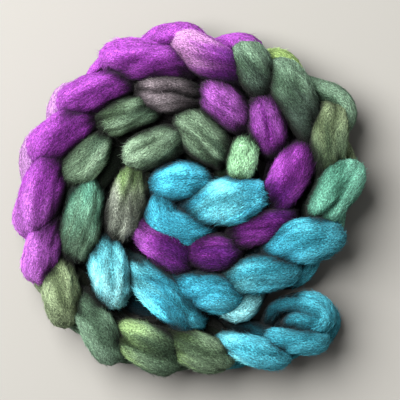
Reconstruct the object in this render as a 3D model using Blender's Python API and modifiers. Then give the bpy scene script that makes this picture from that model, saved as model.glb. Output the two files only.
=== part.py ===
"""A hank of hand-dyed wool roving: one thick soft strand worked into a crochet chain, and the chain laid flat
in a spiral of nearly three turns.

Metres, +Z up. The hank lies on Z = 0 with the middle of its outline at the origin. The chain starts at the
outer end, by +X -Y, and runs clockwise inwards, seen from above. It is one soft solid: the strand's own
twists and fibres are finer than this model.
"""

import math
from collections import namedtuple

import bmesh
import bpy
from mathutils import Vector

RIM_CLIMB = 1.1  # how much higher a lower leg lies for each metre that it bulges out
CHAIN_OUT = 0.011  # from the chain's middle line out to the points where its stitches open
FLOOR_SINK = 0.0025  # how far the soft strand would pass the surface it lies on, so how much is pressed flat
STEPS = 4  # places read between two points of the strand's route

CORE_OUT = 0.0  # the packed middle of the chain, where its strands press on each other
CORE_HEIGHT = 0.025
CORE_RADIUS = 0.013
SEAM_OUT = -0.019  # the packed seam between one turn of the spiral and the next turn in
SEAM_HEIGHT = 0.019
SEAM_RADIUS = 0.0145
MIDDLE_RADIUS = 0.040  # the packed middle of the spiral, a flat disc
MIDDLE_TOP = 0.030

REMESH_SIZE = 0.003
FACES_WANTED = 9000
TUBE_RADIUS = 0.010  # the tube before each point's own radius scales it

WOOL_COLOUR = (0.07, 0.30, 0.36, 1.0)

# One row for each stitch, from the outer end inwards. A stitch's upper leg is the long lobe seen from above.
# It starts at turn (degrees clockwise from +X) and radius, and its tip dives at tip_turn and tip_radius.
# rim is how far the lower leg bulges out past the next stitch's start, and lift raises the upper leg.
Stitch = namedtuple("Stitch", "turn radius tip_turn tip_radius width rim lift")
STITCHES = [
    Stitch(*row)
    for row in (
        (47, 0.146, 61, 0.119, 0.018, 0.0040, 0.000),
        (60, 0.138, 78, 0.108, 0.022, 0.0080, 0.000),
        (79, 0.122, 101, 0.106, 0.027, 0.0110, 0.000),
        (97, 0.120, 117, 0.112, 0.031, 0.0050, 0.000),
        (117, 0.131, 139, 0.110, 0.025, 0.0040, 0.000),
        (137, 0.129, 155, 0.110, 0.026, 0.0050, 0.000),
        (154, 0.130, 175, 0.103, 0.025, 0.0050, 0.000),
        (170, 0.1235, 199, 0.1085, 0.030, 0.0130, 0.000),
        (198, 0.1195, 220, 0.1005, 0.028, 0.0130, 0.000),
        (218, 0.1175, 242, 0.102, 0.027, 0.0040, 0.000),
        (240, 0.125, 272, 0.100, 0.027, 0.0155, 0.000),
        (266, 0.118, 292, 0.100, 0.027, 0.0125, 0.000),
        (290, 0.1193, 304, 0.0985, 0.026, 0.0130, 0.000),
        (304, 0.120, 333, 0.104, 0.028, 0.0170, 0.000),
        (327, 0.125, 353, 0.103, 0.0245, 0.0080, 0.001),
        (350, 0.121, 366, 0.0965, 0.031, 0.0070, 0.002),
        (374, 0.109, 390, 0.069, 0.033, 0.0140, 0.003),
        (394, 0.092, 430, 0.064, 0.028, 0.0205, 0.000),
        (425, 0.079, 464, 0.066, 0.029, 0.0040, 0.000),
        (448, 0.093, 491, 0.067, 0.028, 0.0040, 0.000),
        (488, 0.093, 516, 0.072, 0.028, 0.0040, 0.000),
        (515, 0.094, 549, 0.079, 0.029, 0.0040, 0.000),
        (551, 0.092, 575, 0.080, 0.025, 0.0040, 0.000),
        (581, 0.089, 608, 0.075, 0.025, 0.0040, 0.000),
        (607, 0.089, 634, 0.076, 0.027, 0.0040, 0.000),
        (640, 0.083, 665, 0.070, 0.028, 0.0040, 0.000),
        (666, 0.089, 690, 0.073, 0.0265, 0.0040, 0.000),
        (696, 0.092, 726, 0.062, 0.029, 0.0040, 0.000),
        (730, 0.077, 765, 0.0415, 0.024, 0.0040, 0.001),
        (773, 0.050, 819, 0.038, 0.028, 0.0040, 0.000),
        (816, 0.0475, 881, 0.042, 0.031, 0.0040, 0.000),
        (875, 0.059, 929, 0.046, 0.028, 0.0040, 0.000),
        (937, 0.055, 984, 0.048, 0.028, 0.0040, 0.000),
        (986, 0.058, 1028, 0.041, 0.030, 0.0040, 0.000),
        (1034, 0.058, 1057, 0.039, 0.022, 0.0040, 0.004),
        (1077, 0.050, 1201, 0.006, 0.0325, 0.0040, 0.004),
    )
]

# The route of a stitch's lower leg: along the chain in stitches, out from its middle line as a share of the
# stitch's rim, height and radius.
LOWER_LEG = (
    (-0.04, -0.3, 0.023, 0.0080),
    (0.15, 0.3, 0.024, 0.0090),
    (0.50, 0.4, 0.018, 0.0105),
    (0.85, 0.95, 0.013, 0.0115),
    (1.15, 1.0, 0.012, 0.0110),
    (1.42, -0.3, 0.020, 0.0090),
)
# The upper leg, run from its tip back to its start: share of that way, height, radius as a share of its width.
UPPER_LEG = (
    (-0.05, 0.0265, 0.31),
    (0.16, 0.0380, 0.44),
    (0.46, 0.0425, 0.52),
    (0.74, 0.0420, 0.53),
    (0.95, 0.0365, 0.43),
)
# The way behind the chain to the next stitch: along the chain in stitches, out from its middle line, height
# and radius.
BUMP = (
    (-0.04, 0.002, 0.032, 0.0070),
    (-0.06, -0.008, 0.029, 0.0070),
    (0.38, -0.013, 0.025, 0.0095),
    (0.80, -0.010, 0.021, 0.0090),
)
# The loop that the chain starts from, and the last loop in the middle: x, y, height, radius.
START_LOOP = (
    (0.080, -0.099, 0.012, 0.0080),
    (0.066, -0.102, 0.015, 0.0070),
    (0.059, -0.095, 0.022, 0.0062),
    (0.061, -0.086, 0.029, 0.0062),
    (0.068, -0.079, 0.033, 0.0064),
    (0.080, -0.077, 0.036, 0.0074),
    (0.093, -0.080, 0.037, 0.0100),
    (0.099, -0.088, 0.036, 0.0110),
    (0.092, -0.092, 0.036, 0.0110),
    (0.082, -0.091, 0.033, 0.0100),
    (0.072, -0.098, 0.022, 0.0080),
    (0.080, -0.107, 0.012, 0.0090),
    (0.098, -0.102, 0.012, 0.0105),
    (0.101, -0.088, 0.013, 0.0105),
    (0.088, -0.084, 0.013, 0.0085),
)
END_LOOP = (
    (0.013, 0.004, 0.022, 0.0080),
    (0.010, 0.011, 0.036, 0.0110),
    (0.000, 0.014, 0.044, 0.0140),
    (-0.012, 0.014, 0.045, 0.0150),
    (-0.023, 0.009, 0.039, 0.0120),
    (-0.027, -0.002, 0.026, 0.0085),
    (-0.018, -0.003, 0.020, 0.0080),
    (-0.016, 0.000, 0.034, 0.0090),
    (-0.022, -0.005, 0.044, 0.0120),
    (-0.021, -0.014, 0.046, 0.0145),
    (-0.011, -0.021, 0.046, 0.0150),
    (0.002, -0.023, 0.043, 0.0130),
    (0.012, -0.019, 0.034, 0.0105),
    (0.009, -0.009, 0.022, 0.0090),
    (-0.007, 0.001, 0.026, 0.0080),
)


def smooth_read(rows, place):
    """The rows' value at a place between them, on a Catmull-Rom curve that runs straight on past both ends."""
    last = len(rows) - 1
    start = min(max(math.floor(place), 0), last - 1)
    t = place - start
    one, two = rows[start], rows[start + 1]
    if not 0 <= t <= 1:
        return one + (two - one) * t
    before = rows[start - 1] if start else one * 2 - two
    after = rows[start + 2] if start + 2 <= last else two * 2 - one
    bend = (before * 2 - one * 5 + two * 4 - after) + ((one - two) * 3 + after - before) * t
    return one + ((two - before) + bend * t) * (t / 2)


def polar(turn, radius):
    return Vector((math.cos(math.radians(turn)), -math.sin(math.radians(turn)))) * radius


def beside_chain(along, out):
    """A place beside the chain: along it in stitches, and out from its middle line in metres."""
    turn = smooth_read([stitch.turn for stitch in STITCHES], along)
    radius = smooth_read([stitch.radius for stitch in STITCHES], along)
    return polar(turn, radius - CHAIN_OUT + out)


def point(place, height, radius):
    """A point of the strand's route, with its radius as the fourth number."""
    return Vector((place.x, place.y, height - FLOOR_SINK, radius))


def stitch_route(number, stitch):
    for along, share, height, radius in LOWER_LEG:
        out = share * stitch.rim
        climb = RIM_CLIMB * max(out, 0)
        yield point(beside_chain(number + along, out), height + climb, radius)
    back = polar(stitch.turn, stitch.radius)
    tip = polar(stitch.tip_turn, stitch.tip_radius)
    for share, height, fatness in UPPER_LEG:
        yield point(tip + (back - tip) * share, height + stitch.lift, stitch.width * fatness)
    for along, out, height, radius in BUMP:
        yield point(beside_chain(number + along, out), height, radius)


def strand_route():
    route = [point(Vector(row[:2]), *row[2:]) for row in START_LOOP]
    for number, stitch in enumerate(STITCHES):
        route.extend(stitch_route(number, stitch))
    route.extend(point(Vector(row[:2]), *row[2:]) for row in END_LOOP)
    return [smooth_read(route, step / STEPS) for step in range(STEPS * (len(route) - 1) + 1)]


def beside_route(out, height, radius):
    """A line that keeps its distance from the chain's middle line, from the first stitch to the last."""
    steps = range(STEPS * (len(STITCHES) - 1) + 1)
    return [point(beside_chain(step / STEPS, out), height, radius) for step in steps]


def tube_mesh(name, route):
    """A closed tube along a route, as a mesh, made by a curve's bevel."""
    curve = bpy.data.curves.new(name, "CURVE")
    curve.dimensions = "3D"
    curve.bevel_depth = TUBE_RADIUS
    curve.bevel_resolution = 2
    curve.use_fill_caps = True
    spline = curve.splines.new("POLY")
    spline.points.add(len(route) - 1)
    for spot, (x, y, z, radius) in zip(spline.points, route):
        spot.co = (x, y, z, 1)
        spot.radius = radius / TUBE_RADIUS
    guide = bpy.data.objects.new(name, curve)
    bpy.context.scene.collection.objects.link(guide)
    mesh = evaluated_mesh(guide)
    bpy.data.objects.remove(guide)
    bpy.data.curves.remove(curve)
    return mesh


def evaluated_mesh(obj):
    bpy.context.view_layer.update()
    return bpy.data.meshes.new_from_object(obj.evaluated_get(bpy.context.evaluated_depsgraph_get()))


def middle_mesh():
    disc = bmesh.new()
    bmesh.ops.create_cone(
        disc, cap_ends=True, segments=48, radius1=MIDDLE_RADIUS, radius2=MIDDLE_RADIUS, depth=MIDDLE_TOP
    )
    bmesh.ops.translate(disc, verts=disc.verts, vec=(0, 0, MIDDLE_TOP / 2 - FLOOR_SINK))
    mesh = bpy.data.meshes.new("middle")
    disc.to_mesh(mesh)
    disc.free()
    return mesh


def joined(name, meshes):
    """The meshes as one, still overlapping."""
    whole = bmesh.new()
    for mesh in meshes:
        whole.from_mesh(mesh)
        bpy.data.meshes.remove(mesh)
    bmesh.ops.remove_doubles(whole, verts=whole.verts, dist=1e-6)
    mesh = bpy.data.meshes.new(name)
    whole.to_mesh(mesh)
    whole.free()
    return mesh


def outer_shell(mesh):
    """Deletes every closed surface but the largest, so that no sealed hollow stays inside the wool."""
    whole = bmesh.new()
    whole.from_mesh(mesh)
    waiting = set(whole.verts)
    shells = []
    while waiting:
        front = [waiting.pop()]
        shell = set(front)
        while front:
            spot = front.pop()
            for edge in spot.link_edges:
                other = edge.other_vert(spot)
                if other not in shell:
                    shell.add(other)
                    front.append(other)
        waiting -= shell
        shells.append(shell)
    shells.sort(key=len)
    for shell in shells[:-1]:
        bmesh.ops.delete(whole, geom=list(shell), context="VERTS")
    whole.to_mesh(mesh)
    whole.free()


def wool_material():
    material = bpy.data.materials.new("wool")
    material.use_nodes = True
    shader = material.node_tree.nodes["Principled BSDF"]
    shader.inputs["Base Color"].default_value = WOOL_COLOUR
    shader.inputs["Roughness"].default_value = 0.9
    shader.inputs["Metallic"].default_value = 0.0
    return material


def floor_cutter(collection):
    """A slab under the surface that the hank lies on, which cuts its underside flat."""
    bpy.ops.mesh.primitive_cube_add(size=1, location=(0, 0, -0.05))
    cutter = bpy.context.object
    cutter.name = "floor_cutter"
    cutter.scale = (0.5, 0.5, 0.1)
    for other in cutter.users_collection:
        other.objects.unlink(cutter)
    collection.objects.link(cutter)
    cutter.hide_render = True
    cutter.display_type = "WIRE"
    return cutter


def roving_braid(collection, cutter):
    core = tube_mesh("core", beside_route(CORE_OUT, CORE_HEIGHT, CORE_RADIUS))
    seam = tube_mesh("seam", beside_route(SEAM_OUT, SEAM_HEIGHT, SEAM_RADIUS))
    mesh = joined("roving_braid", (tube_mesh("strand", strand_route()), core, seam, middle_mesh()))
    braid = bpy.data.objects.new("roving_braid", mesh)
    collection.objects.link(braid)
    merge = braid.modifiers.new("merge", "REMESH")
    merge.mode = "VOXEL"
    merge.voxel_size = REMESH_SIZE
    soften = braid.modifiers.new("soften", "SMOOTH")
    soften.iterations = 3
    merged = evaluated_mesh(braid)
    braid.modifiers.clear()
    outer_shell(merged)
    braid.data = merged
    bpy.data.meshes.remove(mesh)
    merged.name = "roving_braid"
    merged.materials.append(wool_material())
    merged.shade_smooth()
    thin = braid.modifiers.new("thin", "DECIMATE")
    thin.ratio = FACES_WANTED / (2 * len(merged.polygons))
    lie = braid.modifiers.new("lie", "BOOLEAN")
    lie.operation = "DIFFERENCE"
    lie.solver = "EXACT"
    lie.object = cutter
    bpy.context.view_layer.update()
    corners = [Vector(corner) for corner in braid.evaluated_get(bpy.context.evaluated_depsgraph_get()).bound_box]
    braid.location.x = -(min(c.x for c in corners) + max(c.x for c in corners)) / 2
    braid.location.y = -(min(c.y for c in corners) + max(c.y for c in corners)) / 2
    return braid


def main():
    for obj in list(bpy.data.objects):
        bpy.data.objects.remove(obj)
    parts = bpy.data.collections.new("wool_roving")
    cutters = bpy.data.collections.new("cutters")
    bpy.context.scene.collection.children.link(parts)
    bpy.context.scene.collection.children.link(cutters)
    roving_braid(parts, floor_cutter(cutters))


main()
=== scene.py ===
"""The looks of the hank of hand-dyed wool roving: one thick soft strand worked into a crochet chain, and the
chain laid flat in a spiral of nearly three turns.

Metres, +Z up. The strand follows the same route as in the CAD part. It is made here at full detail, in a few
lengths that meet inside the hank, with its folds, fibre ridges, dye colours, painted shade in its hollows,
grooves and creases, and loose fuzz.
"""

import math
from collections import namedtuple

import bpy
import numpy as np
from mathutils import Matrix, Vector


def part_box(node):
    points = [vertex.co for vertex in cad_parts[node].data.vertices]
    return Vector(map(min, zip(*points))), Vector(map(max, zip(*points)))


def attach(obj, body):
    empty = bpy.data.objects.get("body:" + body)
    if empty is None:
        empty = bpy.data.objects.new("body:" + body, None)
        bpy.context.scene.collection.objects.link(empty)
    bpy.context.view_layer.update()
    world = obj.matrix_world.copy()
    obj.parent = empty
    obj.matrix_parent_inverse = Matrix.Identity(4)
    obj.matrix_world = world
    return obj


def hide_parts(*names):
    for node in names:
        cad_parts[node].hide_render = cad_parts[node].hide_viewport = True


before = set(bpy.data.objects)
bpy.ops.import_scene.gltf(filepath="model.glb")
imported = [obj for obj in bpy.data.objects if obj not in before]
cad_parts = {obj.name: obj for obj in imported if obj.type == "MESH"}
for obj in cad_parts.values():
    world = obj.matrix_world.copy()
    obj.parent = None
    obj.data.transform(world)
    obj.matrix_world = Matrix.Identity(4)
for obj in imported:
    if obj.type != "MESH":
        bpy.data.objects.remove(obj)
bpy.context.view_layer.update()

RIM_CLIMB = 1.1  # how much higher a lower leg lies for each metre that it bulges out
CHAIN_OUT = 0.011  # from the chain's middle line out to the points where its stitches open
FLOOR_SINK = 0.0025  # how far the soft strand would pass the surface it lies on, so how much is pressed flat
FLOOR_SOFTNESS = 0.0016  # how gradually the pressed underside turns up at its edges

DENSE_STEPS = 24  # places read between two points of the strand's route
LINE_STEP = 0.0004  # between the steps of the strand's middle line
ROUTE_SOFTNESS = 0.0016  # how far along itself the route is averaged, so that it has no kinks
DYE_SOFTNESS = 0.004  # how far along the strand one dye blends into the next
CURVE_SOFTNESS = 0.001
BEND_LIMIT = 0.92  # how near to the centre of its own bend the wool on the inner side may reach
FLATTENED = (1.04, 1.04, 1.0)  # the strand's cross-section is this much wider than a circle
SIDES = 60
LEG_SPACING = 0.0022  # between the strand's rings, on the lobes seen from above
RIM_SPACING = 0.0032
HIDDEN_SPACING = 0.0065
SPACING_SOFTNESS = 5  # steps of the middle line over which one spacing changes to another
TWIST = 9.0  # radians of twist in the wool's fibres for each metre of strand
SWAY = 0.5  # radians by which that twist goes back and forth
SWAY_LENGTH = 0.017  # along the strand, for each radian of its wave
LENGTHS = 4  # how many lengths the strand is made in

# Noise that is drawn out along the strand: its size across and along the strand, and its seed.
Grain = namedtuple("Grain", "across length seed")
SWELL = Grain(0.0090, 0.015, 1)
FOLD = Grain(0.0050, 0.030, 2)
CREASE = Grain(0.0110, 0.035, 8)
BLEED = Grain(0.0045, 0.080, 4)
FINE_BLEED = Grain(0.0015, 0.050, 6)
FINE_STREAK = Grain(0.0030, 0.030, 7)
STREAK = Grain(0.0080, 0.030, 5)
SWELL_HEIGHT = 0.0012
FOLD_HEIGHT = 0.0009
CREASE_WIDTH = 0.16  # how near to zero the noise has to be where a crease runs
BLEED_LENGTH = 0.012  # how far along the strand the edge of a dye wanders
FINE_BLEED_LENGTH = 0.006
FINE_STREAK_SHARE = 0.12  # how much lighter or darker the streaks are
STREAK_SHARE = 0.20

# Painted shade: the dye is darkened, and made deeper in colour, where the wool lies below the wool around it.
SHADE_CELL = 0.001  # the cells in which the wool's greatest height is found
SHADE_BORDER = 20  # empty cells kept round the hank
SHADE_REACH = 0.004  # how far around a place that height is averaged, to find the hollows
SHADE_ASIDE = 0.008  # a hollow is closed in on each side, at this distance
SHADE_START = -0.0095  # a point this far below the wool on its lowest side starts to darken
SHADE_DEPTH = 0.0140  # and this much further down it's darkest
DEEPEST_SHADE = 0.97
PAINTED_SHADE_DEEPENING = 0.4  # how much deeper in colour the painted shade makes the dye in the hollows
GROOVE_SHADE = 160  # how fast the painted shade darkens the grooves and creases, for each metre of depth

SEED = 7

# One row for each stitch, from the outer end inwards. A stitch's upper leg is the long lobe seen from above.
# It starts at turn (degrees clockwise from +X) and radius, and its tip dives at tip_turn and tip_radius.
# rim is how far the lower leg bulges out past the next stitch's start, and lift raises the upper leg.
# rim_dye, tip_dye, leg_dye and back_dye colour the lower leg, and the upper leg's tip, middle and start.
Stitch = namedtuple(
    "Stitch", "turn radius tip_turn tip_radius width rim lift rim_dye tip_dye leg_dye back_dye"
)
STITCHES = [
    Stitch(*row)
    for row in (
        (47, 0.146, 61, 0.119, 0.018, 0.0040, 0.000, "teal", "lagoon", "petrol", "petrol"),
        (60, 0.138, 78, 0.108, 0.022, 0.0080, 0.000, "teal", "aqua", "lagoon", "petrol"),
        (79, 0.122, 101, 0.106, 0.027, 0.0110, 0.000, "forest", "lime", "moss", "moss"),
        (97, 0.120, 117, 0.112, 0.031, 0.0050, 0.000, "forest", "lime", "moss", "forest"),
        (117, 0.131, 139, 0.110, 0.025, 0.0040, 0.000, "forest", "green", "green", "green"),
        (137, 0.129, 155, 0.110, 0.026, 0.0050, 0.000, "olive", "olive", "olive", "olive"),
        (154, 0.130, 175, 0.103, 0.025, 0.0050, 0.000, "sage", "purple", "orchid", "orchid"),
        (170, 0.1235, 199, 0.1085, 0.030, 0.0130, 0.000, "lilac", "purple", "purple", "orchid"),
        (198, 0.1195, 220, 0.1005, 0.028, 0.0130, 0.000, "lilac", "purple", "purple", "purple"),
        (218, 0.1175, 242, 0.102, 0.027, 0.0040, 0.000, "purple", "purple", "purple", "purple"),
        (240, 0.125, 272, 0.100, 0.027, 0.0155, 0.000, "purple", "purple", "purple", "purple"),
        (266, 0.118, 292, 0.100, 0.027, 0.0125, 0.000, "purple", "violet", "purple", "pink"),
        (290, 0.1193, 304, 0.0985, 0.026, 0.0130, 0.000, "straw", "slate_green", "slate_green", "green"),
        (304, 0.120, 333, 0.104, 0.028, 0.0170, 0.000, "green", "slate_green", "slate_green", "green"),
        (327, 0.125, 353, 0.103, 0.0245, 0.0080, 0.001, "olive", "olive", "moss", "olive"),
        (350, 0.121, 366, 0.0965, 0.031, 0.0070, 0.002, "seafoam", "seafoam", "seafoam", "seafoam"),
        (374, 0.109, 390, 0.069, 0.033, 0.0140, 0.003, "petrol", "turquoise", "lagoon", "petrol"),
        (394, 0.092, 430, 0.064, 0.028, 0.0205, 0.000, "ice", "aqua", "lagoon", "petrol"),
        (425, 0.079, 464, 0.066, 0.029, 0.0040, 0.000, "turquoise", "turquoise", "turquoise", "lagoon"),
        (448, 0.093, 491, 0.067, 0.028, 0.0040, 0.000, "turquoise", "aqua", "turquoise", "lagoon"),
        (488, 0.093, 516, 0.072, 0.028, 0.0040, 0.000, "teal", "aqua", "aqua", "ice"),
        (515, 0.094, 549, 0.079, 0.029, 0.0040, 0.000, "forest", "seafoam", "jade", "green"),
        (551, 0.092, 575, 0.080, 0.025, 0.0040, 0.000, "forest", "green", "sage", "sage"),
        (581, 0.089, 608, 0.075, 0.025, 0.0040, 0.000, "forest", "green", "sage", "moss"),
        (607, 0.089, 634, 0.076, 0.027, 0.0040, 0.000, "plum_grey", "plum_grey", "plum_grey", "mauve"),
        (640, 0.083, 665, 0.070, 0.028, 0.0040, 0.000, "orchid", "orchid", "orchid", "orchid"),
        (666, 0.089, 690, 0.073, 0.0265, 0.0040, 0.000, "lilac", "purple", "purple", "orchid"),
        (696, 0.092, 726, 0.062, 0.029, 0.0040, 0.000, "purple", "violet", "purple", "purple"),
        (730, 0.077, 765, 0.0415, 0.024, 0.0040, 0.001, "purple", "purple", "purple", "violet"),
        (773, 0.050, 819, 0.038, 0.028, 0.0040, 0.000, "violet", "purple", "purple", "violet"),
        (816, 0.0475, 881, 0.042, 0.031, 0.0040, 0.000, "purple", "orchid", "purple", "violet"),
        (875, 0.059, 929, 0.046, 0.028, 0.0040, 0.000, "stone", "lime", "stone", "stone"),
        (937, 0.055, 984, 0.048, 0.028, 0.0040, 0.000, "forest", "green", "sage", "sage"),
        (986, 0.058, 1028, 0.041, 0.030, 0.0040, 0.000, "forest", "green", "sage", "sage"),
        (1034, 0.058, 1057, 0.039, 0.022, 0.0040, 0.004, "mint", "mint", "mint", "mint"),
        (1077, 0.050, 1201, 0.006, 0.0325, 0.0040, 0.004, "turquoise", "turquoise", "aqua", "turquoise"),
    )
]
START_DYE = "petrol"
END_DYE = "turquoise"

# The wool's dyes, as linear light.
DYES = {
    "turquoise": (0.100, 0.540, 0.720),
    "aqua": (0.170, 0.560, 0.645),
    "lagoon": (0.055, 0.310, 0.400),
    "petrol": (0.042, 0.240, 0.310),
    "teal": (0.020, 0.180, 0.230),
    "ice": (0.240, 0.560, 0.610),
    "seafoam": (0.135, 0.350, 0.265),
    "jade": (0.235, 0.455, 0.335),
    "mint": (0.280, 0.510, 0.310),
    "sage": (0.222, 0.328, 0.228),
    "green": (0.113, 0.188, 0.130),
    "moss": (0.098, 0.153, 0.094),
    "lime": (0.162, 0.255, 0.106),
    "straw": (0.290, 0.430, 0.150),
    "forest": (0.060, 0.105, 0.065),
    "olive": (0.172, 0.226, 0.130),
    "slate_green": (0.087, 0.131, 0.106),
    "stone": (0.245, 0.275, 0.235),
    "plum_grey": (0.130, 0.115, 0.125),
    "mauve": (0.290, 0.250, 0.280),
    "pink": (0.370, 0.185, 0.380),
    "lilac": (0.270, 0.130, 0.310),
    "orchid": (0.350, 0.108, 0.432),
    "purple": (0.245, 0.048, 0.318),
    "violet": (0.165, 0.029, 0.258),
}

# The route of a stitch's lower leg: along the chain in stitches, out from its middle line as a share of the
# stitch's rim, height and radius.
LOWER_LEG = (
    (-0.04, -0.3, 0.023, 0.0080),
    (0.15, 0.3, 0.024, 0.0090),
    (0.50, 0.4, 0.018, 0.0105),
    (0.85, 0.95, 0.013, 0.0115),
    (1.15, 1.0, 0.012, 0.0110),
    (1.42, -0.3, 0.020, 0.0090),
)
# The upper leg, from its tip back to its start: share of that way, height, radius as a share of its width.
UPPER_LEG = (
    (-0.05, 0.0265, 0.31),
    (0.16, 0.0380, 0.44),
    (0.46, 0.0425, 0.52),
    (0.74, 0.0420, 0.53),
    (0.95, 0.0365, 0.43),
)
# The way behind the chain to the next stitch: along the chain in stitches, out from its middle line, height
# and radius.
BUMP = (
    (-0.04, 0.002, 0.032, 0.0070),
    (-0.06, -0.008, 0.029, 0.0070),
    (0.38, -0.013, 0.025, 0.0095),
    (0.80, -0.010, 0.021, 0.0090),
)
# The loop that the chain starts from, and the last loop in the middle: x, y, height, radius.
START_LOOP = (
    (0.080, -0.099, 0.012, 0.0080),
    (0.066, -0.102, 0.015, 0.0070),
    (0.059, -0.095, 0.022, 0.0062),
    (0.061, -0.086, 0.029, 0.0062),
    (0.068, -0.079, 0.033, 0.0064),
    (0.080, -0.077, 0.036, 0.0074),
    (0.093, -0.080, 0.037, 0.0100),
    (0.099, -0.088, 0.036, 0.0110),
    (0.092, -0.092, 0.036, 0.0110),
    (0.082, -0.091, 0.033, 0.0100),
    (0.072, -0.098, 0.022, 0.0080),
    (0.080, -0.107, 0.012, 0.0090),
    (0.098, -0.102, 0.012, 0.0105),
    (0.101, -0.088, 0.013, 0.0105),
    (0.088, -0.084, 0.013, 0.0085),
)
END_LOOP = (
    (0.013, 0.004, 0.022, 0.0080),
    (0.010, 0.011, 0.036, 0.0110),
    (0.000, 0.014, 0.044, 0.0140),
    (-0.012, 0.014, 0.045, 0.0150),
    (-0.023, 0.009, 0.039, 0.0120),
    (-0.027, -0.002, 0.026, 0.0085),
    (-0.018, -0.003, 0.020, 0.0080),
    (-0.016, 0.000, 0.034, 0.0090),
    (-0.022, -0.005, 0.044, 0.0120),
    (-0.021, -0.014, 0.046, 0.0145),
    (-0.011, -0.021, 0.046, 0.0150),
    (0.002, -0.023, 0.043, 0.0130),
    (0.012, -0.019, 0.034, 0.0105),
    (0.009, -0.009, 0.022, 0.0090),
    (-0.007, 0.001, 0.026, 0.0080),
)

# Grooves in the lobes. share is how far back from the lobe's tip, and beside is how far out from its ridge,
# in radii.
Groove = namedtuple("Groove", "stitch share beside depth")
GROOVES = [
    Groove(*row)
    for row in (
        (3, 0.30, 0.3, 0.0025),
        (3, 0.75, 0.0, 0.0010),
        (3, 1.00, 0.0, 0.0060),
        (5, 0.10, -0.6, 0.0025),
        (5, 0.60, -0.8, 0.0010),
        (6, 0.05, -0.5, 0.0020),
        (6, 0.80, -0.6, 0.0015),
        (9, 0.20, 0.1, 0.0005),
        (9, 0.75, 0.0, 0.0015),
        (13, 0.20, 0.3, 0.0008),
        (13, 0.80, 0.5, 0.0012),
        (15, 0.05, 0.2, 0.0020),
        (15, 0.45, 0.3, 0.0040),
        (15, 0.90, -0.5, 0.0020),
        (19, 0.10, -0.4, 0.0020),
        (19, 0.80, -0.2, 0.0000),
        (20, 0.10, -0.5, 0.0008),
        (20, 0.60, -0.6, 0.0010),
        (23, 0.50, 0.1, 0.0005),
        (23, 1.00, 0.0, 0.0030),
        (24, 0.00, 0.1, 0.0045),
        (24, 0.95, 0.1, 0.0045),
        (31, 0.00, 0.3, 0.0030),
        (31, 0.60, 0.1, 0.0020),
        (32, 0.40, 0.6, 0.0020),
        (32, 0.60, 0.3, 0.0040),
        (32, 1.00, -0.2, 0.0040),
        (33, 0.00, -0.5, 0.0030),
        (33, 0.60, -0.4, 0.0020),
    )
]
GROOVE_WIDTH = 0.0020
GROOVE_WANDER = 0.12  # how far the grooves wander sideways, in radii
GROOVE_WANDER_LENGTH = 0.0042  # along the strand, for each radian of that wave
CREASE_DEPTH = 0.0011  # of the fine creases that run along every lobe

FUZZ_EACH = 14000  # fibres on each length of the strand
FUZZ_LENGTH = (0.004, 0.012)
FUZZ_RADIUS = 0.00010
FUZZ_SWAY = 0.6  # how far a fibre's heading strays from the strand's, to the side
FUZZ_LIFT = 0.15  # and away from the wool
FUZZ_RISE = 0.0007  # how far a fibre's ends bend up from the wool
FUZZ_DRIFT = 0.0008  # and sideways
FUZZ_TONE = (0.5, 2.3)  # a fibre's colour as a share of the dye, with its painted shade, under it
FUZZ_CLEAR = 0.0001  # of the wool
FLOOR_CLEAR = 0.0002
RIM_SHOWS = 0.5  # how much of the fuzz a lower leg gets, beside 1 for an upper leg
HIDDEN_SHOWS = 0.12
# Places along a fibre as shares of half its length, and its thickness there.
FUZZ_STATIONS = ((-1.0, 0.0), (-0.4, 1.0), (0.4, 1.0), (1.0, 0.0))

BAKE_STRIPS = 5  # side by side strips of the UV map, with their margins as shares of a strip and of the map
STRIP_MARGIN = 0.04
STRIP_END = 0.03
CAP_CORNER = 0.005

# The camera hangs straight above, far off, and frames FRAME_WIDTH at the height of the lobes.
CAMERA_HEIGHT = 2.5
CAMERA_ASIDE = 0.00675
FRAME_WIDTH = 0.300
LOBE_TOP = 0.045
SENSOR_MM = 36

KEY_PLACE = (-0.90, 0.62, 1.42)
KEY_SIZE = 1.80
KEY_POWER = 133
KEY_COLOUR = (1.0, 0.98, 0.95)
FILL_COLOUR = (1.0, 0.98, 0.95, 1)
FILL_STRENGTH = 0.24
FLOOR_COLOUR = (0.240, 0.236, 0.224, 1)
FLOOR_SIZE = 6


def smooth_read(rows, places):
    """The rows' values at places between them, on a Catmull-Rom curve that goes straight on past its ends."""
    rows = np.asarray(rows, float)
    head = 2 * rows[:1] - rows[1:2]
    tail = 2 * rows[-1:] - rows[-2:-1]
    rows = np.concatenate((2 * head - rows[:1], head, rows, tail, 2 * tail - rows[-1:]))
    places = np.asarray(places, float) + 2
    start = np.clip(np.floor(places).astype(int), 1, len(rows) - 3)
    t = (places - start).reshape(-1, *([1] * (rows.ndim - 1)))
    before, one, two, after = (rows[start + step] for step in (-1, 0, 1, 2))
    bend = (before * 2 - one * 5 + two * 4 - after) + ((one - two) * 3 + after - before) * t
    return one + ((two - before) + bend * t) * (t / 2)


TURNS = [stitch.turn for stitch in STITCHES]
RADII = [stitch.radius for stitch in STITCHES]


def polar(turn, radius):
    angle = -math.radians(turn)
    return np.array((math.cos(angle), math.sin(angle))) * radius


def beside_chain(along, out):
    """A place beside the chain: along it in stitches, and out from its middle line in metres."""
    turn = float(smooth_read(TURNS, [along])[0])
    radius = float(smooth_read(RADII, [along])[0])
    return polar(turn, radius - CHAIN_OUT + out)


def row(place, height, radius, dye):
    return (place[0], place[1], height - FLOOR_SINK, radius, *DYES[dye])


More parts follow.
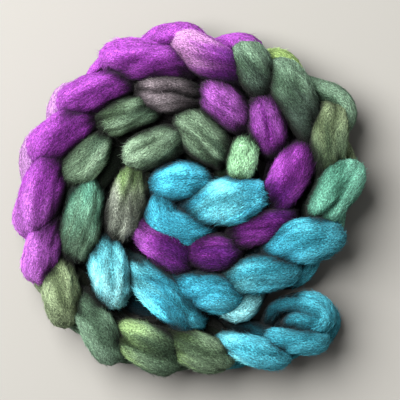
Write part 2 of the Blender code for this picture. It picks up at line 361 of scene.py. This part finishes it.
def stitch_route(number, stitch):
    for along, share, height, radius in LOWER_LEG:
        out = share * stitch.rim
        climb = RIM_CLIMB * max(out, 0)
        yield row(beside_chain(number + along, out), height + climb, radius, stitch.rim_dye)
    back = polar(stitch.turn, stitch.radius)
    tip = polar(stitch.tip_turn, stitch.tip_radius)
    dyes = (stitch.tip_dye, stitch.tip_dye, stitch.leg_dye, stitch.back_dye, stitch.back_dye)
    for (share, height, fatness), dye in zip(UPPER_LEG, dyes):
        yield row(tip + (back - tip) * share, height + stitch.lift, stitch.width * fatness, dye)
    for along, out, height, radius in BUMP:
        yield row(beside_chain(number + along, out), height, radius, stitch.back_dye)


def strand_route():
    """Each point of the route as x, y, z, radius and three parts of colour."""
    route = [row(spot[:2], *spot[2:], START_DYE) for spot in START_LOOP]
    for number, stitch in enumerate(STITCHES):
        route.extend(stitch_route(number, stitch))
    route.extend(row(spot[:2], *spot[2:], END_DYE) for spot in END_LOOP)
    return np.array(route)


def smoothed(values, reach):
    """The values averaged along the rows, with a bell of that reach in rows."""
    half = int(3 * reach) + 1
    bell = np.exp(-0.5 * (np.arange(-half, half + 1) / reach) ** 2)
    bell /= bell.sum()
    padded = np.pad(values, ((half, half), (0, 0)), mode="edge")
    return np.stack([np.convolve(column, bell, mode="valid") for column in padded.T], axis=1)


def unit(vectors):
    return vectors / np.maximum(np.linalg.norm(vectors, axis=-1, keepdims=True), 1e-12)


Line = namedtuple("Line", "spot radius dye place along tangent curve")


def strand_line():
    """The strand's middle line in even small steps, with what is known at each step."""
    route = strand_route()
    places = np.arange(DENSE_STEPS * (len(route) - 1) + 1) / DENSE_STEPS
    dense = smooth_read(route[:, :4], places)
    run = np.concatenate(((0,), np.cumsum(np.linalg.norm(np.diff(dense[:, :3], axis=0), axis=1))))
    even = np.arange(0, run[-1], LINE_STEP)
    spots = np.stack([np.interp(even, run, column) for column in dense.T], axis=1)
    place = np.interp(even, run, places)
    spots = smoothed(spots, ROUTE_SOFTNESS / LINE_STEP)
    dye = np.stack([np.interp(place, np.arange(len(route)), column) for column in route[:, 4:].T], axis=1)
    dye = smoothed(dye, DYE_SOFTNESS / LINE_STEP)
    along = np.concatenate(((0,), np.cumsum(np.linalg.norm(np.diff(spots[:, :3], axis=0), axis=1))))
    tangent = unit(np.gradient(spots[:, :3], along, axis=0))
    curve = smoothed(np.gradient(tangent, along, axis=0), CURVE_SOFTNESS / LINE_STEP)
    return Line(spots[:, :3], spots[:, 3], dye, place, along, tangent, curve)


def picked(line, at):
    """The line read at other distances along it."""
    fields = []
    for field in line:
        columns = [np.interp(at, line.along, column) for column in np.atleast_2d(field.T)]
        fields.append(np.stack(columns, axis=1) if len(columns) > 1 else columns[0])
    read = Line(*fields)
    return read._replace(tangent=unit(read.tangent))


ROWS_EACH = len(LOWER_LEG) + len(UPPER_LEG) + len(BUMP)
TOP_START = len(LOWER_LEG) - 1.2  # rows into a stitch where the strand comes up into sight
TOP_END = len(LOWER_LEG) + len(UPPER_LEG) - 0.2  # and where it goes down again
RIM_START = 0.5
RIM_END = len(LOWER_LEG) - 1


def stitch_place(place):
    """Which stitch a place on the route belongs to, and how many rows into that stitch it is."""
    since = place - len(START_LOOP)
    number = np.floor(since / ROWS_EACH)
    return number, since - number * ROWS_EACH


def on_top(place):
    """Whether a place on the route is on an upper leg or an end loop, where the strand shows from above."""
    number, local = stitch_place(place)
    loops = (number < 0) | (number >= len(STITCHES))
    return loops | ((local > TOP_START) & (local < TOP_END))


def ring_places(line):
    """Distances along the strand for its rings, closer together where it shows."""
    local = stitch_place(line.place)[1]
    rim = (local > RIM_START) & (local < RIM_END)
    spacing = np.where(on_top(line.place), LEG_SPACING, np.where(rim, RIM_SPACING, HIDDEN_SPACING))
    spacing = smoothed(spacing[:, None], SPACING_SOFTNESS)[:, 0]
    count = np.concatenate(((0,), np.cumsum(np.diff(line.along) / spacing[1:])))
    return np.interp(np.arange(0, count[-1]), count, line.along)


def carried_frame(tangent):
    """Two directions across the strand at each ring, carried along it without twist."""
    first = np.empty_like(tangent)
    side = np.cross(tangent[0], (0, 0, 1))
    for number, forward in enumerate(tangent):
        side = side - forward * side.dot(forward)
        side /= math.sqrt(side.dot(side))
        first[number] = side
    return first, np.cross(tangent, first)


NOISE_SIZE = 4096
SPREAD = (73856093, 19349663, 83492791, 2654435)  # large odd numbers that mix x, y, z and the seed
NOISE = np.random.default_rng(SEED).uniform(-1, 1, NOISE_SIZE)


def soft_noise(points, seed):
    """Smooth noise from -1 to 1 with a feature about every unit."""
    base = np.floor(points).astype(np.int64)
    t = points - base
    t = t * t * (3 - 2 * t)
    total = np.zeros(points.shape[:-1])
    for corner in np.ndindex(2, 2, 2):
        x, y, z = ((base[..., axis] + corner[axis]) * SPREAD[axis] for axis in range(3))
        value = NOISE[(x ^ y ^ z ^ seed * SPREAD[3]) % NOISE_SIZE]
        weight = np.prod([t[..., axis] if corner[axis] else 1 - t[..., axis] for axis in range(3)], axis=0)
        total += value * weight
    return total


def grain_noise(around, along, grain):
    """Noise drawn out along the strand."""
    flat = around / grain.across
    points = np.stack((flat[..., 0], flat[..., 1], along / grain.length), axis=-1)
    return soft_noise(points, grain.seed)


def groove_depth(line, out):
    """How deep the grooves in the lobes are at each point of the rings."""
    number, local = stitch_place(line.place)
    share = np.interp(local - len(LOWER_LEG), np.arange(len(UPPER_LEG)), [leg[0] for leg in UPPER_LEG])
    outward = unit(np.cross(line.tangent, (0, 0, 1)))
    beside = np.einsum("rsk,rk->rs", out, outward)
    depth = np.zeros(beside.shape)
    for stitch in sorted({groove.stitch for groove in GROOVES}):
        shares, besides, depths = np.array([groove[1:] for groove in GROOVES if groove.stitch == stitch]).T
        rings = number == stitch
        wander = GROOVE_WANDER * np.sin(line.along[rings] / GROOVE_WANDER_LENGTH)
        middle = np.interp(share[rings], shares, besides) + wander
        off = (beside[rings] - middle[:, None]) * line.radius[rings, None]
        deep = np.interp(share[rings], shares, depths) * (local[rings] > len(LOWER_LEG) - 0.5)
        upward = np.clip(3 * out[rings][..., 2] + 0.5, 0, 1)  # the lobes' undersides have no grooves
        depth[rings] = deep[:, None] * upward * np.exp(-((off / GROOVE_WIDTH) ** 2))
    return smoothed(depth, 1)


def hollow_shade(spots):
    """Shares of light for the surface's points: small where they lie below the wool around them."""
    cells = ((spots[..., :2] - spots[..., :2].min(axis=(0, 1))) / SHADE_CELL).astype(int) + SHADE_BORDER
    heights = np.zeros(cells.max(axis=(0, 1)) + SHADE_BORDER)
    np.maximum.at(heights, (cells[..., 0], cells[..., 1]), spots[..., 2])
    for axis in (0, 1, 0, 1):
        heights = np.maximum(heights, np.maximum(np.roll(heights, 1, axis), np.roll(heights, -1, axis)))
    reach = SHADE_REACH / SHADE_CELL
    near = smoothed(smoothed(heights, reach).T, reach).T
    aside = round(SHADE_ASIDE / SHADE_CELL)
    lowest = np.minimum.reduce([np.roll(near, step, axis) for axis in (0, 1) for step in (-aside, aside)])
    depth = np.minimum(near, lowest)[cells[..., 0], cells[..., 1]] - spots[..., 2]
    t = np.clip((depth - SHADE_START) / SHADE_DEPTH, 0, 1)
    return 1 - DEEPEST_SHADE * t * t * (3 - 2 * t)


def strand_surface(line):
    """Rings of points round the strand, and for each point its direction out, its fibre place and its dye
    with painted shade.
    """
    first, second = carried_frame(line.tangent)
    turn = np.arange(SIDES) * (2 * math.pi / SIDES)
    cosine, sine = np.cos(turn)[None, :, None], np.sin(turn)[None, :, None]
    out = first[:, None] * cosine + second[:, None] * sine
    radius = line.radius[:, None]
    along = np.broadcast_to(line.along[:, None], (len(radius), SIDES))
    twisted = turn + TWIST * along + SWAY * np.sin(line.along / SWAY_LENGTH)[:, None]
    around = np.stack((np.cos(twisted) * radius, np.sin(twisted) * radius), axis=-1)

    swell = SWELL_HEIGHT * grain_noise(around, along, SWELL)
    folds = FOLD_HEIGHT * grain_noise(around, along, FOLD)
    groove = groove_depth(line, out)
    groove += CREASE_DEPTH * np.exp(-((grain_noise(around, along, CREASE) / CREASE_WIDTH) ** 2))
    reach = radius + swell + folds - groove

    inward = np.einsum("rsk,rk->rs", out, line.curve)
    limit = BEND_LIMIT / np.maximum(inward, 1e-6)
    reach = np.where(inward > 0, reach * limit / (reach**4 + limit**4) ** 0.25, reach)

    spots = line.spot[:, None] + out * reach[..., None] * FLATTENED
    height = spots[..., 2]
    spots[..., 2] = (height + np.sqrt(height**2 + FLOOR_SOFTNESS**2)) / 2
    fibre = np.concatenate((around, along[..., None]), axis=-1)
    wander = along + BLEED_LENGTH * grain_noise(around, along, BLEED)
    wander += FINE_BLEED_LENGTH * grain_noise(around, along, FINE_BLEED)
    dye = np.stack([np.interp(wander, line.along, column) for column in line.dye.T], axis=-1)
    streak = FINE_STREAK_SHARE * grain_noise(around, along, FINE_STREAK)
    streak += STREAK_SHARE * grain_noise(around, along, STREAK)
    # Painted shade: the dye is darkened where the wool lies low among its neighbours and in the grooves and
    # creases, and made deeper in colour there.
    shade = hollow_shade(spots) / (1 + GROOVE_SHADE * groove)
    dye = dye ** (1 + PAINTED_SHADE_DEEPENING * (1 - shade[..., None])) * ((1 + streak) * shade)[..., None]
    return spots, out, fibre, dye


def new_piece(name, mesh, material):
    mesh.materials.append(material)
    mesh.shade_smooth()
    mesh.validate()
    piece = bpy.data.objects.new(name, mesh)
    bpy.context.scene.collection.objects.link(piece)
    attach(piece, "root")
    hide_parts("roving_braid")
    return piece


def add_places(mesh, name, places):
    attribute = mesh.attributes.new(name, "FLOAT_VECTOR", "POINT")
    attribute.data.foreach_set("vector", places.astype(np.float32).ravel())


def add_colours(mesh, name, colours):
    flat = np.clip(colours.reshape(-1, 3), 0, 1)
    flat = np.concatenate((flat, np.ones((len(flat), 1))), axis=1)
    attribute = mesh.attributes.new(name, "FLOAT_COLOR", "POINT")
    attribute.data.foreach_set("color", flat.astype(np.float32).ravel())


def with_caps(values):
    """The rings' values in one list, then the first and last rings' means for the points that close them."""
    return np.concatenate((values.reshape(-1, 3), values[[0, -1]].mean(axis=1)))


def length_mesh(name, spots, fibre, dye):
    """One closed length of the strand, with a UV map that lays it out in side by side strips."""
    rings, sides = spots.shape[:2]
    ring, side = np.meshgrid(np.arange(rings - 1), np.arange(sides), indexing="ij")
    after = (side + 1) % sides
    here, beyond = ring * sides, (ring + 1) * sides
    faces = np.stack((here + side, here + after, beyond + after, beyond + side), axis=-1).reshape(-1, 4)
    points = with_caps(spots)
    head, tail = len(points) - 2, len(points) - 1
    loop = np.arange(sides)
    fans = [(head, (n + 1) % sides, n) for n in loop]
    fans += [(tail, (rings - 1) * sides + n, (rings - 1) * sides + (n + 1) % sides) for n in loop]
    mesh = bpy.data.meshes.new(name)
    mesh.from_pydata(points, [], faces.tolist() + fans)

    tall = math.ceil((rings - 1) / BAKE_STRIPS)
    strip, row_in_strip = np.divmod(ring, tall)
    left = (strip + STRIP_MARGIN + (1 - 2 * STRIP_MARGIN) * side / sides) / BAKE_STRIPS
    right = (strip + STRIP_MARGIN + (1 - 2 * STRIP_MARGIN) * (side + 1) / sides) / BAKE_STRIPS
    low = STRIP_END + (1 - 2 * STRIP_END) * row_in_strip / tall
    high = STRIP_END + (1 - 2 * STRIP_END) * (row_in_strip + 1) / tall
    corners = np.stack((left, low, right, low, right, high, left, high), axis=-1).reshape(-1, 2)
    fan_corners = np.tile(((0.0, 0.0), (CAP_CORNER, 0.0), (0.0, CAP_CORNER)), (2 * sides, 1))
    mesh.uv_layers.new(name="OFBake").data.foreach_set("uv", np.concatenate((corners, fan_corners)).ravel())

    add_places(mesh, "fibre", with_caps(fibre))
    add_colours(mesh, "dye", with_caps(dye))
    return mesh


def cut_places(line):
    """The distances along the strand where one length ends and the next starts, all inside the hank."""
    stitches = [round(len(STITCHES) * number / LENGTHS) for number in range(1, LENGTHS)]
    places = [len(START_LOOP) + ROWS_EACH * stitch - 0.5 for stitch in stitches]
    return np.interp(places, line.place, line.along)


def matte_material(name, sheen):
    """A new matte material, its nodes and links, its shader, and the node that reads the wool's dye with its
    painted shade.
    """
    material = bpy.data.materials.new(name)
    material.use_nodes = True
    nodes, links = material.node_tree.nodes, material.node_tree.links
    shader = nodes["Principled BSDF"]
    shader.inputs["Roughness"].default_value = 0.9
    shader.inputs["Specular IOR Level"].default_value = 0.05
    shader.inputs["Sheen Weight"].default_value = sheen
    dye = nodes.new("ShaderNodeAttribute")
    dye.attribute_name = "dye"
    return material, nodes, links, shader, dye


def wool_material():
    """Wool whose colour, roughness and surface follow fine streaks along the fibres, and specks."""
    material, nodes, links, shader, dye = matte_material("wool", 0.04)
    fibre = nodes.new("ShaderNodeAttribute")
    fibre.attribute_name = "fibre"

    def drawn_out(scale, stretch, detail):
        mapping = nodes.new("ShaderNodeMapping")
        mapping.inputs["Scale"].default_value = (1, 1, stretch)
        noise = nodes.new("ShaderNodeTexNoise")
        noise.inputs["Scale"].default_value = scale
        noise.inputs["Detail"].default_value = detail
        noise.inputs["Roughness"].default_value = 0.65
        links.new(fibre.outputs["Vector"], mapping.inputs["Vector"])
        links.new(mapping.outputs["Vector"], noise.inputs["Vector"])
        return noise.outputs["Fac"]

    def ranged(value, low, high, start=0.3, end=0.7):
        spread = nodes.new("ShaderNodeMapRange")
        spread.inputs["From Min"].default_value = start
        spread.inputs["From Max"].default_value = end
        spread.inputs["To Min"].default_value = low
        spread.inputs["To Max"].default_value = high
        links.new(value, spread.inputs["Value"])
        return spread.outputs["Result"]

    def maths(operation, one, two):
        node = nodes.new("ShaderNodeMath")
        node.operation = operation
        links.new(one, node.inputs[0])
        links.new(two, node.inputs[1])
        return node.outputs["Value"]

    streaks = drawn_out(scale=1000, stretch=0.14, detail=3)
    mottle = drawn_out(scale=1600, stretch=0.6, detail=2)
    specks = maths("MULTIPLY", maths("MULTIPLY", mottle, mottle), mottle)
    speckled = ranged(specks, 0.10, 2.55, start=0.0, end=0.34)
    shade = maths("MULTIPLY", ranged(streaks, 0.70, 1.30), speckled)
    tint = nodes.new("ShaderNodeVectorMath")
    tint.operation = "SCALE"
    links.new(dye.outputs["Color"], tint.inputs[0])
    links.new(shade, tint.inputs["Scale"])
    links.new(tint.outputs["Vector"], shader.inputs["Base Color"])
    links.new(ranged(mottle, 0.98, 0.80), shader.inputs["Roughness"])

    bump = nodes.new("ShaderNodeBump")
    bump.inputs["Strength"].default_value = 0.9
    bump.inputs["Distance"].default_value = 0.0014
    links.new(maths("ADD", streaks, mottle), bump.inputs["Height"])
    links.new(bump.outputs["Normal"], shader.inputs["Normal"])
    return material


def fuzz_material():
    material, _, links, shader, dye = matte_material("wool_fuzz", 0.05)
    links.new(dye.outputs["Color"], shader.inputs["Base Color"])
    return material


def fibre_faces():
    """The triangles of one fibre: its two ends, and a ring of three corners at each station between them."""
    faces = []
    for n in range(3):
        m = (n + 1) % 3
        faces += [(0, 1 + m, 1 + n), (1 + n, 1 + m, 4 + m), (1 + n, 4 + m, 4 + n), (7, 4 + n, 4 + m)]
    return np.array(faces)


def fuzz_mesh(name, rng, spots, out, tangent, dye, shows):
    """Thin closed fibres that lie on the wool, mostly along it, with their ends a little clear of it."""
    count = FUZZ_EACH
    sides = spots.shape[1]
    likely = (shows[:-1, None] * np.clip(out[:-1, :, 2] + 0.6, 0.02, 1)).ravel()
    chosen = rng.choice(len(likely), count, p=likely / likely.sum())
    ring, side = np.divmod(chosen, sides)
    beyond, across_share = rng.random((2, count, 1))
    near, far = spots[ring, side], spots[ring + 1, side]
    near_next, far_next = spots[ring, (side + 1) % sides], spots[ring + 1, (side + 1) % sides]
    root = (near * (1 - beyond) + far * beyond) * (1 - across_share)
    root += (near_next * (1 - beyond) + far_next * beyond) * across_share
    normal = out[ring, side]
    forward = tangent[ring]
    across = np.cross(normal, forward)
    sway = rng.normal(0, FUZZ_SWAY, count)[:, None]
    heading = unit(forward + across * sway + normal * rng.normal(0, FUZZ_LIFT, count)[:, None])
    half = rng.uniform(*FUZZ_LENGTH, count)[:, None] / 2
    rise = np.abs(rng.normal(0, FUZZ_RISE, count))[:, None]
    drift = rng.normal(0, FUZZ_DRIFT, count)[:, None]
    beside = np.cross(heading, normal)
    upright = np.cross(beside, heading)
    # The fibres take the colour under them: the dye with its painted shade.
    colour = dye[ring, side] * rng.uniform(*FUZZ_TONE, count)[:, None]

    points = []
    for share, thickness in FUZZ_STATIONS:
        middle = root + heading * half * share + normal * FUZZ_CLEAR
        middle += (normal * rise + beside * drift) * share**2
        if not thickness:
            points.append(middle[:, None])
            continue
        for angle in (0, 2 * math.pi / 3, 4 * math.pi / 3):
            corner = (beside * math.cos(angle) + upright * math.sin(angle)) * FUZZ_RADIUS * thickness
            points.append((middle + corner)[:, None])
    points = np.concatenate(points, axis=1)
    points[..., 2] = np.maximum(points[..., 2], FLOOR_CLEAR)
    each = points.shape[1]
    faces = (np.arange(count)[:, None, None] * each + fibre_faces()).reshape(-1, 3)
    mesh = bpy.data.meshes.new(name)
    mesh.from_pydata(points.reshape(-1, 3), [], faces.tolist())
    add_colours(mesh, "dye", np.repeat(colour, each, axis=0))
    return mesh


def build_strand():
    """Makes the strand's lengths and their fuzz, and returns how far they moved to fit the CAD part."""
    line = strand_line()
    print("strand length", round(float(line.along[-1]), 2), "m")
    at = ring_places(line)
    rings = picked(line, at)
    spots, out, fibre, dye = strand_surface(rings)
    lower = stitch_place(rings.place)[1] < RIM_END
    shows = np.where(on_top(rings.place), 1.0, np.where(lower, RIM_SHOWS, HIDDEN_SHOWS)) * rings.radius
    low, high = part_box("roving_braid")
    flat = spots.reshape(-1, 3)
    shift = (np.array(low) + np.array(high)) / 2 - (flat.min(axis=0) + flat.max(axis=0)) / 2
    shift[2] = 0
    spots += shift
    cuts = np.concatenate(((0,), np.searchsorted(at, cut_places(line)), (len(at) - 1,)))
    wool, fuzz = wool_material(), fuzz_material()
    rng = np.random.default_rng(SEED)
    for number, (start, end) in enumerate(zip(cuts[:-1], cuts[1:]), 1):
        part = slice(start, end + 1)
        name = f"strand_{number}"
        new_piece(name, length_mesh(name, spots[part], fibre[part], dye[part]), wool)
        name = f"fuzz_{number}"
        mesh = fuzz_mesh(name, rng, spots[part], out[part], rings.tangent[part], dye[part], shows[part])
        new_piece(name, mesh, fuzz)
    return shift


def floor_piece():
    bpy.ops.mesh.primitive_plane_add(size=FLOOR_SIZE, location=(0, 0, 0))
    floor = bpy.context.object
    floor.name = "floor"
    material = bpy.data.materials.new("floor")
    material.use_nodes = True
    shader = material.node_tree.nodes["Principled BSDF"]
    shader.inputs["Base Color"].default_value = FLOOR_COLOUR
    shader.inputs["Roughness"].default_value = 0.9
    floor.data.materials.append(material)


def key_light():
    """A large soft lamp, up to the left behind the hank, that points at its middle."""
    data = bpy.data.lights.new("key", "AREA")
    data.shape = "DISK"
    data.size = KEY_SIZE
    data.energy = KEY_POWER
    data.color = KEY_COLOUR
    light = bpy.data.objects.new("key", data)
    light.location = KEY_PLACE
    light.rotation_euler = (-light.location).to_track_quat("-Z", "Y").to_euler()
    bpy.context.scene.collection.objects.link(light)


def fill_light():
    world = bpy.data.worlds.new("studio")
    world.use_nodes = True
    background = world.node_tree.nodes["Background"]
    background.inputs["Color"].default_value = FILL_COLOUR
    background.inputs["Strength"].default_value = FILL_STRENGTH
    bpy.context.scene.world = world
    bpy.context.scene.view_settings.view_transform = "Standard"


def top_camera(shift):
    data = bpy.data.cameras.new("camera")
    data.sensor_width = SENSOR_MM
    data.lens = SENSOR_MM * (CAMERA_HEIGHT - LOBE_TOP) / FRAME_WIDTH
    data.clip_end = 20
    camera = bpy.data.objects.new("camera", data)
    camera.location = (CAMERA_ASIDE + shift[0], shift[1], CAMERA_HEIGHT)
    bpy.context.scene.collection.objects.link(camera)
    bpy.context.scene.camera = camera


floor_piece()
key_light()
fill_light()
top_camera(build_strand())
